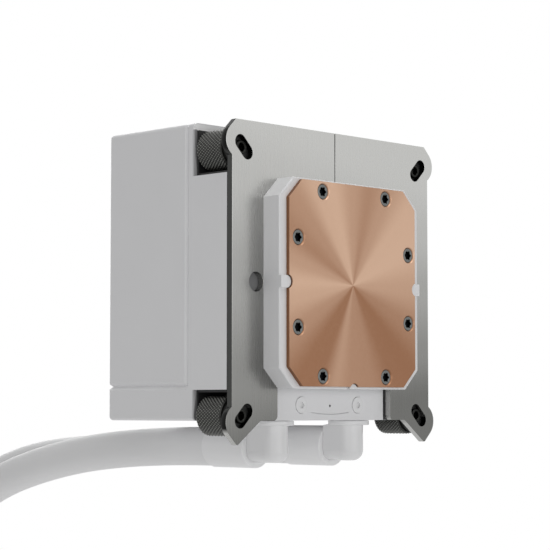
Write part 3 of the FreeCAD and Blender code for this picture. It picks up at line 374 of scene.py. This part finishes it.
def housing_white(tint):
    """The housing's plastic, with painted shade where it lies deep, painted light along its top and a
    painted glow in the cover's seam.
    """
    finish = Finish("white_moulding")
    look = grained(finish, tint)
    across, along, up = finish.split(finish.place())
    low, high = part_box("pump_base")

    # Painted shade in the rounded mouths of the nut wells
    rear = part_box("nut_well_liners")[1][1]
    reach = 1.1 * settings("cooler_sizes").well_edge
    well_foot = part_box("thumb_nut_upper_right")[0][2] - 1.65 * MM
    well_top = 44.4 * MM
    mouth = finish.between(along, rear + reach, rear) * (along > rear - 0.05 * MM)
    mouth = mouth * (abs(across) > high[0] - reach) * finish.within(abs(up), well_foot, well_top)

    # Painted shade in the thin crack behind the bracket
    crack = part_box("bracket_left")[1][1] + 0.1 * MM
    behind = 1.0 - finish.between(abs(along - crack), 0.03 * MM, 0.06 * MM)

    # The small dot at the lower front, and painted shade in the gap beside the port retainer
    dot_height = low[2] + 4.3 * MM
    front_depth = 3 * MM
    off_dot = abs(across) + abs(up - dot_height) + (along > front_depth)
    dot = 1.0 - finish.between(off_dot, 0.42 * MM, 0.55 * MM)
    gap = finish.within(across, 23.95 * MM, 25.6 * MM) * finish.within(up, low[2] + 0.1 * MM, -29 * MM)
    gap = gap * finish.within(along, 2.02 * MM, 8 * MM)

    # Painted light on the strip just under the top face, and a painted glow within the seam under the
    # display cover
    lip_light = finish.within(up, 44.2 * MM, high[2] - 0.3 * MM) * (16 * MM > along)
    seam_height = low[2] + 9.4 * MM
    seam_glow = (along > 17 * MM) * (high[0] - 0.15 * MM > abs(across)) * (0.62 * MM > abs(up - seam_height))

    # The painted shade, with the dot, darkens the plastic; the lip takes painted light and the seam a
    # painted glow
    shade = (mouth * 0.68).larger((behind * 0.75).larger((dot + gap) * 0.9))
    with_lip_light = finish.blend(lip_light, look["Base_Color"], opaque((0.98, 0.98, 0.98)))
    look["Base_Color"] = finish.blend(shade, with_lip_light, opaque((0.02, 0.02, 0.021)))
    look["Emission_Color"] = finish.blend(seam_glow, BLACK, WHITE)
    return finish.surface(Emission_Strength=0.05, **look)


def turned_copper():
    """Copper faced on a lathe: fine rings, fans of painted reflection, bright and dark, round the tool's
    centre, and painted shade where it lies deep.
    """
    finish = Finish("turned_copper")
    colours = settings("cooler_colours")
    to_centre = (0.6 * MM, 0.0, 0.0)
    across, depth, up = finish.split(finish.place(move=to_centre))
    share = up.apply("ARCTAN2", across) / (2 * math.pi) + 0.5
    # Painted reflection: bright and dark fans of sheen round the tool's centre, under the real rings and
    # grain
    sheen_fan = finish.greys(COPPER_SHEEN_FANS, share)
    flat = finish.place((1.0, 0.0, 1.0), to_centre)
    radius = finish.node("ShaderNodeVectorMath", {"operation": "LENGTH"}, flat, output="Value")
    ring_width = 0.3 * MM
    rings = (radius * (2 * math.pi / ring_width)).apply("SINE")
    fine = finish.noise(1100.0, 3.0)
    sheen_mask = sheen_fan + (fine - 0.5) * 0.1 + rings * 0.025
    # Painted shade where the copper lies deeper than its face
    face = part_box("cold_plate")[0][1]
    sunk_shade = finish.between(depth, face + 0.12 * MM, face + 0.3 * MM)
    turned = finish.blend(sheen_mask, opaque(colours.copper_dark), opaque(colours.copper_light))
    base = finish.blend(sunk_shade, turned, opaque(scaled(colours.copper_dark, 0.9)))
    normal = finish.bump(rings * 0.5 + fine * 0.3, 0.1, 0.008 * MM)
    return finish.surface(Base_Color=base, Metallic=1.0, Roughness=fine * 0.08 + 0.34, Normal=normal)


def brushed_plate():
    """The bracket: upright streaks and a painted reflection, darker towards its feet and lighter to the
    right; painted shade on the cut edges outside and on top, and painted light on cut edges facing down
    below the middle and on those nearer the middle facing left.
    """
    finish = Finish("brushed_bracket")
    colours = settings("cooler_colours")
    across, _, up = finish.split(finish.place())
    # Painted reflection: the steel darkens towards the feet and lightens to the right
    plate_height = 90 * MM
    reflection_more_to_the_right = 0.16 / (30 * MM)
    height = up / plate_height * (across * reflection_more_to_the_right + 1.0) + 0.5
    level = finish.greys(PLATE_REFLECTION_LEVELS, height)
    face = finish.blend(level, opaque(colours.steel_foot), opaque(colours.steel))
    streak = finish.noise(STREAKS, 3.0, UPRIGHT)
    cloud = finish.noise(STEEL_CLOUD)
    streaked = finish.blend(streak * 0.035 + cloud * 0.02, face, opaque((0.9, 0.9, 0.88)))

    # Cut faces point sideways, and the outer ones lie past the slots. Outer cut faces and top faces take
    # painted shade, darkest at the ears, with painted light where they face down below the middle; cut faces
    # facing left nearer the middle take painted light
    normal = finish.node("ShaderNodeNewGeometry", output="Normal")
    faces_across, faces_along, faces_up = finish.split(normal)
    cut = 1.0 - finish.between(abs(faces_along), 0.35, 0.8)
    outer = finish.between(abs(across), 31 * MM, 33 * MM)
    edge_shade = cut * outer.larger(faces_up > 0.7)
    ear_shade = finish.between(abs(up), 36 * MM, 37.5 * MM) * outer
    tint = finish.shades(ear_shade, colours.cut_edge, 1.0, 0.25)
    under = finish.between(faces_up, -0.35, -0.6) * (0.0 > up)
    tint = finish.blend(under, tint, opaque(colours.steel))
    inner = (1.0 - outer) * cut * (-0.5 > faces_across)

    base = finish.blend(edge_shade, streaked, tint)
    base = finish.blend(inner, base, opaque(scaled(colours.steel, 0.85)))
    rough = streak * 0.1 + cloud * 0.06 + 0.2
    relief = finish.bump(streak, 0.08, 0.008 * MM)
    return finish.surface(Base_Color=base, Metallic=1.0, Roughness=rough, Normal=relief)


def brushed(name, tint, roughness, stretch):
    """Steel or wire with fine streaks along one direction."""
    finish = Finish(name)
    streak = finish.noise(STREAKS, 3.0, stretch)
    cloud = finish.noise(STEEL_CLOUD)
    base = finish.shades(streak, tint, 0.95, 1.05)
    rough = streak * 0.1 + cloud * 0.06 + (roughness - 0.08)
    relief = finish.bump(streak, 0.2, 0.012 * MM)
    return finish.surface(Base_Color=base, Metallic=1.0, Roughness=rough, Normal=relief)


def screw_metal(name, tint, face, depth):
    """Bright screw heads with painted shade in their recesses, deeper than the face."""
    finish = Finish(name)
    along = finish.split(finish.place())[1]
    # Painted shade in the recesses deeper than the face
    deep = finish.between(along, face + 0.35 * depth, face + depth)
    fine = finish.noise(1800.0, 3.0)
    shine = finish.shades(fine, tint, 0.85, 1.2)
    base = finish.blend(deep, shine, opaque((0.004, 0.005, 0.006)))
    return finish.surface(Base_Color=base, Metallic=1.0, Roughness=fine * 0.1 + 0.3)


def worn_and_shaded_black(name, tint):
    """Blackened steel nuts: bright on the raised diamonds, partly wear and partly painted highlight, with
    painted shade in the grooves and at the bored end.
    """
    finish = Finish(name)
    depth = settings("cooler_sizes").knurl_depth
    low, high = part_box("thumb_nut_upper_right")
    across, along, up = finish.split(finish.place())
    aside = abs(across) - (low[0] + high[0]) / 2
    above = abs(up) - (low[2] + high[2]) / 2
    radius = (aside * aside + above * above).apply("SQRT")
    grip = (high[0] - low[0]) / 2
    # Painted shade in the grooves; the raised diamonds lighter, partly wear and partly painted highlight
    raised = finish.between(radius, grip - 0.75 * depth, grip - 0.3 * depth)
    knurled = finish.between(along, 3.6 * MM, 4.3 * MM)
    # Painted shade at the bored end seen through the slots
    bored = 1.0 - finish.between(along, 2.2 * MM, 2.6 * MM)
    wear = finish.noise(1200.0, 3.0)
    groove_shade_and_wear = finish.shades(raised * knurled, tint, 0.08, 1.0)
    shank = finish.blend(bored * 0.85, groove_shade_and_wear, opaque(scaled(tint, 0.05)))
    base = finish.blend(wear * 0.35, shank, opaque(scaled(tint, 0.4)))
    return finish.surface(Base_Color=base, Metallic=bored * 0.4 + 0.6, Roughness=wear * 0.2 + 0.3)


def sleeve(name, tint):
    """Pale smooth hose sleeve with a faint cloudiness and a fine grain."""
    finish = Finish(name)
    cloud = finish.noise(35.0)
    grain = finish.noise(STREAKS)
    base = finish.shades(cloud, tint, 0.96, 1.03)
    normal = finish.bump(grain, 0.2, 0.02 * MM)
    return finish.surface(Base_Color=base, Roughness=cloud * 0.1 + 0.44, Normal=normal)


def dark_glass(name):
    """A switched-off display behind smooth glass, with a faint haze."""
    finish = Finish(name)
    haze = finish.noise(30.0, 3.0)
    base = finish.blend(haze, opaque((0.006, 0.006, 0.008)), opaque((0.010, 0.010, 0.013)))
    return finish.surface(Base_Color=base, Roughness=haze * 0.05 + 0.05)


def finishes():
    """All materials of the object by the record's slot."""
    colours = settings("cooler_colours")
    return {
        "white_housing": housing_white(colours.moulding),
        "white_fitting": moulded("white_fitting", colours.fitting, 0.2, 0.004),
        "ferrule": moulded("coated_ferrule", scaled(colours.fitting, 1.08), 0.36, 0.006),
        "hose": sleeve("hose_sleeve", colours.hose),
        "copper": turned_copper(),
        "bracket_steel": brushed_plate(),
        "screw_steel": screw_metal("screw_steel", colours.screw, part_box("cold_plate")[0][1], 0.75 * MM),
        "shaft_steel": brushed("ground_shaft", (0.6, 0.6, 0.6), 0.2, (1.0, 0.05, 1.0)),
        "core_steel": brushed("laminated_core", (0.3, 0.3, 0.31), 0.4, (0.02, 1.0, 0.02)),
        "dark_steel": worn_and_shaded_black("blackened_steel", colours.nut),
        "black_liner": moulded("black_liner", colours.liner, 0.6),
        "seal_rubber": moulded("seal_rubber", (0.02, 0.02, 0.02), 0.6),
        "plastic_dark": moulded("dark_plastic", (0.03, 0.03, 0.034), 0.45),
        "plastic_natural": moulded("natural_plastic", (0.62, 0.58, 0.48), 0.4),
        "magnet": moulded("sintered_magnet", (0.04, 0.04, 0.042), 0.5),
        "bush": moulded("ceramic_bush", (0.05, 0.05, 0.05), 0.25),
        "coil_wire": brushed("coil_wire", (0.5, 0.2, 0.08), 0.35, (1.0, 12.0, 1.0)),
        "board": moulded("board_laminate", (0.01, 0.09, 0.04), 0.35),
        "board_parts": moulded("board_parts", (0.02, 0.02, 0.02), 0.5),
        "display_panel": moulded("panel_backing", (0.02, 0.02, 0.02), 0.4),
        "display_glass": dark_glass("dark_glass"),
    }


PAINT = {}


def slot_of(node):
    for entry in frame["record"]["subparts"]:
        if entry["node"] == node:
            return entry["material_slot"]
    raise RuntimeError("no material slot for " + node)


def body_of(node):
    for body, nodes in frame["record"]["behaviour"]["bodies"].items():
        if node in nodes:
            return body
    raise RuntimeError("no body for " + node)


def paint(node):
    """Gives a CAD node its material."""
    mesh = frame["nodes"][node].data
    mesh.materials.clear()
    mesh.materials.append(PAINT[slot_of(node)])


def curved(face, crease):
    """Whether a face belongs to a curve: small, or bent from a neighbour that isn't a narrow rounding."""
    area = face.calc_area()
    least_turn = math.radians(0.5)
    narrow = 0.2 * area
    if area < MM * MM:
        return True
    for edge in face.edges:
        if len(edge.link_faces) == 2 and least_turn < edge.calc_face_angle() < crease:
            other = edge.link_faces[edge.link_faces[0] == face]
            if other.calc_area() > narrow:
                return True
    return False


def add_piece(name, bm, node, crease=32.0):
    """Turns a bmesh into the piece that stands for a node, with the node's slot and body."""
    smooth = [curved(face, math.radians(crease)) for face in bm.faces]
    mesh = bpy.data.meshes.new(name)
    bm.to_mesh(mesh)
    bm.free()
    outdated = mesh.attributes.get("custom_normal")
    if outdated:
        mesh.attributes.remove(outdated)
    mesh.set_sharp_from_angle(angle=math.radians(crease))
    mesh.polygons.foreach_set("use_smooth", smooth)
    mesh.materials.append(PAINT[slot_of(node)])
    piece = bpy.data.objects.new(name, mesh)
    bpy.context.scene.collection.objects.link(piece)
    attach(piece, body_of(node))
    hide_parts(node)


def node_copy(node):
    """A merged copy of a CAD node's mesh, with its flat faces joined."""
    bm = bmesh.new()
    bm.from_mesh(frame["nodes"][node].data)
    bmesh.ops.remove_doubles(bm, verts=bm.verts, dist=0.002 * MM)
    bmesh.ops.dissolve_limit(bm, angle_limit=math.radians(0.3), verts=bm.verts, edges=bm.edges,
                             use_dissolve_boundaries=False)
    return bm


def round_edges(bm, edges, width, segments=2, clamp=True):
    bmesh.ops.bevel(bm, geom=edges, offset=width, offset_type="OFFSET", segments=segments, profile=0.5,
                    affect="EDGES", clamp_overlap=clamp, material=-1)


def soften(bm, width):
    """Rounds the sharp outer corners."""
    sharp = [edge for edge in bm.edges
             if len(edge.link_faces) == 2 and edge.is_convex and edge.calc_face_angle(0.0) > SHARP_TURN]
    round_edges(bm, sharp, width)


def spun(profile, segments, centre=(0.0, 0.0, 0.0)):
    """A bmesh spun round the Y axis from (radius, distance along it) points, then moved to its centre."""
    bm = bmesh.new()
    verts = [bm.verts.new((radius, step, 0.0)) for radius, step in profile]
    edges = [bm.edges.new(pair) for pair in zip(verts, verts[1:])]
    bmesh.ops.spin(bm, geom=verts + edges, cent=(0, 0, 0), axis=(0, 1, 0), angle=2 * math.pi,
                   steps=segments, use_merge=True)
    bmesh.ops.remove_doubles(bm, verts=bm.verts, dist=0.001 * MM)
    bmesh.ops.recalc_face_normals(bm, faces=bm.faces)
    bmesh.ops.translate(bm, verts=bm.verts, vec=centre)
    return bm


def metres(profile):
    return [(radius * MM, step * MM) for radius, step in profile]


class COOLER_OT_finishes(bpy.types.Operator):
    """Makes the materials and gives every carried-over node its own"""

    bl_idname = "cooler.finishes"
    bl_label = "Materials"

    def execute(self, context):
        PAINT.update(finishes())
        for node in frame["nodes"]:
            paint(node)
        return {"FINISHED"}


class COOLER_OT_housing(bpy.types.Operator):
    """Softens the edges of the moulded housing, its cover and the retainer, and rounds the nut wells' rear
    edges
    """

    bl_idname = "cooler.housing"
    bl_label = "Housing"

    def execute(self, context):
        sizes = settings("cooler_sizes")
        for node in ("pump_base", "display_cover", "port_retainer"):
            bm = node_copy(node)
            if node == "pump_base":
                round_edges(bm, self.well_edges(bm), sizes.well_edge, 4, False)
            soften(bm, sizes.moulding_edge)
            add_piece("soft_" + node, bm, node)
        return {"FINISHED"}

    @staticmethod
    def well_edges(bm):
        """The upright rear edges of the nut wells, on both sides of the housing."""
        side = max(vert.co.x for vert in bm.verts)
        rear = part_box("nut_well_liners")[1][1]
        slack = 0.05 * MM
        shortest = 4 * MM
        found = []
        for edge in bm.edges:
            first, second = (vert.co for vert in edge.verts)
            outside = min(abs(first.x), abs(second.x)) > side - slack
            behind = max(abs(first.y - rear), abs(second.y - rear)) < slack
            if outside and behind and abs(first.z - second.z) > shortest:
                found.append(edge)
        return found


class COOLER_OT_bracket(bpy.types.Operator):
    """Softens the punched edges of the two bracket halves"""

    bl_idname = "cooler.bracket"
    bl_label = "Bracket"

    def execute(self, context):
        for side in SIDES:
            node = "bracket_" + side
            bm = node_copy(node)
            soften(bm, settings("cooler_sizes").plate_edge)
            add_piece("steel_" + node, bm, node)
        return {"FINISHED"}


class COOLER_OT_plate_screws(bpy.types.Operator):
    """Countersunk screws of the cold plate, with six-lobed recesses"""

    bl_idname = "cooler.plate_screws"
    bl_label = "Plate screws"

    def execute(self, context):
        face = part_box("cold_plate")[0][1]
        recess_floor = 1.25 * MM
        lobes, lobe_depth = 6, 0.13
        whole = bmesh.new()
        for x, z in SCREW_PLACES:
            bm = spun(metres(SCREW_PROFILE), 36)
            for vert in bm.verts:
                radius = math.hypot(vert.co.x, vert.co.z)
                if 1.1 * MM < radius < 1.4 * MM and vert.co.y < recess_floor:
                    push = 1.0 + lobe_depth * math.cos(lobes * math.atan2(vert.co.z, vert.co.x))
                    vert.co.x *= push
                    vert.co.z *= push
            bmesh.ops.translate(bm, verts=bm.verts, vec=(x * MM, face, z * MM))
            scrap = bpy.data.meshes.new("screw")
            bm.to_mesh(scrap)
            bm.free()
            whole.from_mesh(scrap)
            bpy.data.meshes.remove(scrap)
        add_piece("plate_screws", whole, "cold_plate_screws")
        return {"FINISHED"}


class COOLER_OT_cold_plate(bpy.types.Operator):
    """The copper plate with a fine broken edge"""

    bl_idname = "cooler.cold_plate"
    bl_label = "Cold plate"

    def execute(self, context):
        bm = node_copy("cold_plate")
        soften(bm, settings("cooler_sizes").copper_edge)
        add_piece("copper_plate", bm, "cold_plate")
        return {"FINISHED"}


class COOLER_OT_thumb_nuts(bpy.types.Operator):
    """Thumb nuts with a diamond knurl, a collar and a bored shank"""

    bl_idname = "cooler.thumb_nuts"
    bl_label = "Thumb nuts"

    def execute(self, context):
        sizes = settings("cooler_sizes")
        first, last = NUT_KNURL
        step = (last - first) / sizes.knurl_rows
        knurl = [(NUT_GRIP, first + i * step) for i in range(sizes.knurl_rows + 1)]
        count = 2 * sizes.knurl_diamonds
        for corner in CORNERS:
            node = "thumb_nut_" + corner
            low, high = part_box(node)
            bm = spun(metres((*NUT_SHANK, *knurl, *NUT_END)), count)
            hollows = []
            for vert in bm.verts:
                radius = math.hypot(vert.co.x, vert.co.z)
                if radius < (NUT_GRIP - 0.05) * MM:
                    continue
                around = round(math.atan2(vert.co.z, vert.co.x) / (2 * math.pi) * count)
                along = round((vert.co.y / MM - first) / step)
                if (around + along) % 2:
                    pull = 1.0 - sizes.knurl_depth / radius
                    vert.co.x *= pull
                    vert.co.z *= pull
                    hollows.append(vert)
            bmesh.ops.connect_verts(bm, verts=hollows)
            centre = ((low[0] + high[0]) / 2, 0.0, (low[2] + high[2]) / 2)
            bmesh.ops.translate(bm, verts=bm.verts, vec=centre)
            add_piece("knurled_nut_" + corner, bm, node, crease=24.0)
        return {"FINISHED"}


class COOLER_OT_elbows(bpy.types.Operator):
    """Smooth copies of the elbows and ferrules"""

    bl_idname = "cooler.elbows"
    bl_label = "Elbows"

    def execute(self, context):
        sizes = settings("cooler_sizes")
        bore = 4.2 * MM
        for side in SIDES:
            node = "elbow_" + side
            bm = node_copy(node)
            soften(bm, sizes.elbow_edge)
            add_piece("smooth_" + node, bm, node)
            low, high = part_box("ferrule_" + side)
            centre = ((low[0] + high[0]) / 2, 0.0, (low[2] + high[2]) / 2)
            radius, start, end = (high[0] - low[0]) / 2, low[1], high[1]
            rounding = sizes.ferrule_edge
            profile = [(bore, start), (radius - rounding, start)]
            profile += self.corner(radius, start, rounding, 1)
            profile += reversed(self.corner(radius, end, rounding, -1))
            profile += [(radius - rounding, end), (bore, end)]
            bm = spun(profile, 72, centre=centre)
            add_piece("crimped_ferrule_" + side, bm, "ferrule_" + side)
        return {"FINISHED"}

    @staticmethod
    def corner(radius, edge, size, way):
        """Points of a quarter round between an end face and the side."""
        turns = [math.radians(15 * i) for i in range(1, 7)]
        return [(radius - size + size * math.sin(t), edge + way * size * (1 - math.cos(t))) for t in turns]


class COOLER_OT_hoses(bpy.types.Operator):
    """Both hoses as smooth tubes along their routes"""

    bl_idname = "cooler.hoses"
    bl_label = "Hoses"

    def execute(self, context):
        diameter = settings("cooler_sizes").hose_diameter
        for side in SIDES:
            route = HOSE_ROUTES[side]
            curve = bpy.data.curves.new("hose_line_" + side, "CURVE")
            curve.dimensions = "3D"
            curve.bevel_depth = diameter / 2
            curve.bevel_resolution = 12
            curve.resolution_u = 24
            curve.use_fill_caps = True
            line = curve.splines.new("NURBS")
            line.points.add(len(route) - 1)
            for point, place in zip(line.points, route):
                point.co = (*place, 1.0)
            line.order_u = 3
            line.use_endpoint_u = True
            line.use_smooth = True
            curve.materials.append(PAINT["hose"])
            hose = bpy.data.objects.new("supple_hose_" + side, curve)
            context.scene.collection.objects.link(hose)
            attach(hose, "elbow_" + side)
            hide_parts("hose_" + side)
        return {"FINISHED"}


class COOLER_OT_studio(bpy.types.Operator):
    """Floor, white surroundings, lamps and the camera at the photograph's angle"""

    bl_idname = "cooler.studio"
    bl_label = "Studio"

    def execute(self, context):
        studio = settings("cooler_studio")
        self.floor(context, studio)
        self.world(context, studio)
        self.lamps(context, studio)
        self.camera(context, studio)
        context.scene.view_settings.view_transform = "Standard"
        return {"FINISHED"}

    def floor(self, context, studio):
        low = CAD_BOX[0][2] - studio.floor_drop
        bm = bmesh.new()
        half_width = 1.6
        bmesh.ops.create_grid(bm, x_segments=2, y_segments=2, size=half_width)
        bmesh.ops.translate(bm, verts=bm.verts, vec=(0.0, 0.0, low))
        mesh = bpy.data.meshes.new("pale_floor")
        bm.to_mesh(mesh)
        bm.free()
        finish = Finish("pale_floor")
        base = finish.blend(finish.noise(8.0), opaque((0.88, 0.88, 0.88)), opaque((0.92, 0.92, 0.92)))
        matt = finish.node("ShaderNodeBsdfDiffuse", None, base)
        white = finish.node("ShaderNodeEmission", None, WHITE, 1.0)
        glow, glow_seen = 0.2, 0.35
        mixed = finish.node("ShaderNodeMixShader", None, finish.shown() * glow_seen + glow, matt, white)
        finish.node("ShaderNodeOutputMaterial", None, mixed)
        mesh.materials.append(finish.owner)
        floor = bpy.data.objects.new("pale_floor", mesh)
        context.scene.collection.objects.link(floor)

    def world(self, context, studio):
        world = bpy.data.worlds.new("white_room")
        room = Finish("white_room", world)
        strength = room.shown() * (1.0 - studio.ambient) + studio.ambient
        light = room.node("ShaderNodeBackground", None, WHITE, strength)
        room.node("ShaderNodeOutputWorld", None, light)
        context.scene.world = world

    def lamps(self, context, studio):
        # Name, place, width and height, power
        rows = (
            ("front_lamp", (0.1, -2.0, 0.04), (2.1, 0.85), studio.front),
            ("left_lamp", (-0.75, -0.62, -0.26), (0.8, 0.8), studio.left),
            ("top_lamp", (-0.08, -0.32, 1.1), (1.0, 1.0), studio.top),
            ("back_lamp", (1.55, 1.95, 0.85), (2.0, 2.0), studio.back),
        )
        for name, place, size, power in rows:
            lamp = bpy.data.lights.new(name, "AREA")
            lamp.shape = "RECTANGLE"
            lamp.size, lamp.size_y = size
            lamp.energy = power
            thing = bpy.data.objects.new(name, lamp)
            thing.location = place
            thing.rotation_mode = "QUATERNION"
            thing.rotation_quaternion = Vector(place).to_track_quat("Z", "Y")
            context.scene.collection.objects.link(thing)

    def camera(self, context, studio):
        lens = bpy.data.cameras.new("photo_camera")
        lens.lens = studio.lens
        lens.sensor_width = 36.0
        lens.clip_start, lens.clip_end = 0.01, 20.0
        camera = bpy.data.objects.new("photo_camera", lens)
        turn = Matrix(PHOTO_AXES).transposed()
        camera.matrix_world = Matrix.Translation(PHOTO_PLACE) @ turn.to_4x4()
        context.scene.collection.objects.link(camera)
        context.scene.camera = camera


OPERATORS = (
    COOLER_OT_finishes,
    COOLER_OT_studio,
    COOLER_OT_hoses,
    COOLER_OT_housing,
    COOLER_OT_bracket,
    COOLER_OT_cold_plate,
    COOLER_OT_plate_screws,
    COOLER_OT_thumb_nuts,
    COOLER_OT_elbows,
)


class COOLER_PT_panel(bpy.types.Panel):
    """Lists the pieces of the cooler and the values that they take"""

    bl_idname = "COOLER_PT_panel"
    bl_label = "Liquid cooler pump head"
    bl_space_type = "VIEW_3D"
    bl_region_type = "UI"
    bl_category = "Cooler"

    def draw(self, context):
        for group in SETTINGS:
            box = self.layout.box()
            values = getattr(context.scene, group)
            for key in type(values).__annotations__:
                box.prop(values, key)
        for operator in OPERATORS:
            self.layout.operator(operator.bl_idname)


CLASSES = (*SETTINGS.values(), *OPERATORS, COOLER_PT_panel)


def register():
    for kind in CLASSES:
        bpy.utils.register_class(kind)
    for name, group in SETTINGS.items():
        setattr(bpy.types.Scene, name, PointerProperty(type=group))


def unregister():
    for name in SETTINGS:
        delattr(bpy.types.Scene, name)
    for kind in reversed(CLASSES):
        bpy.utils.unregister_class(kind)


def main():
    register()
    bpy.ops.cooler.finishes()
    bpy.ops.cooler.studio()
    bpy.ops.cooler.hoses()
    bpy.ops.cooler.housing()
    bpy.ops.cooler.bracket()
    bpy.ops.cooler.cold_plate()
    bpy.ops.cooler.plate_screws()
    bpy.ops.cooler.thumb_nuts()
    bpy.ops.cooler.elbows()


if __name__ == "__main__":
    main()
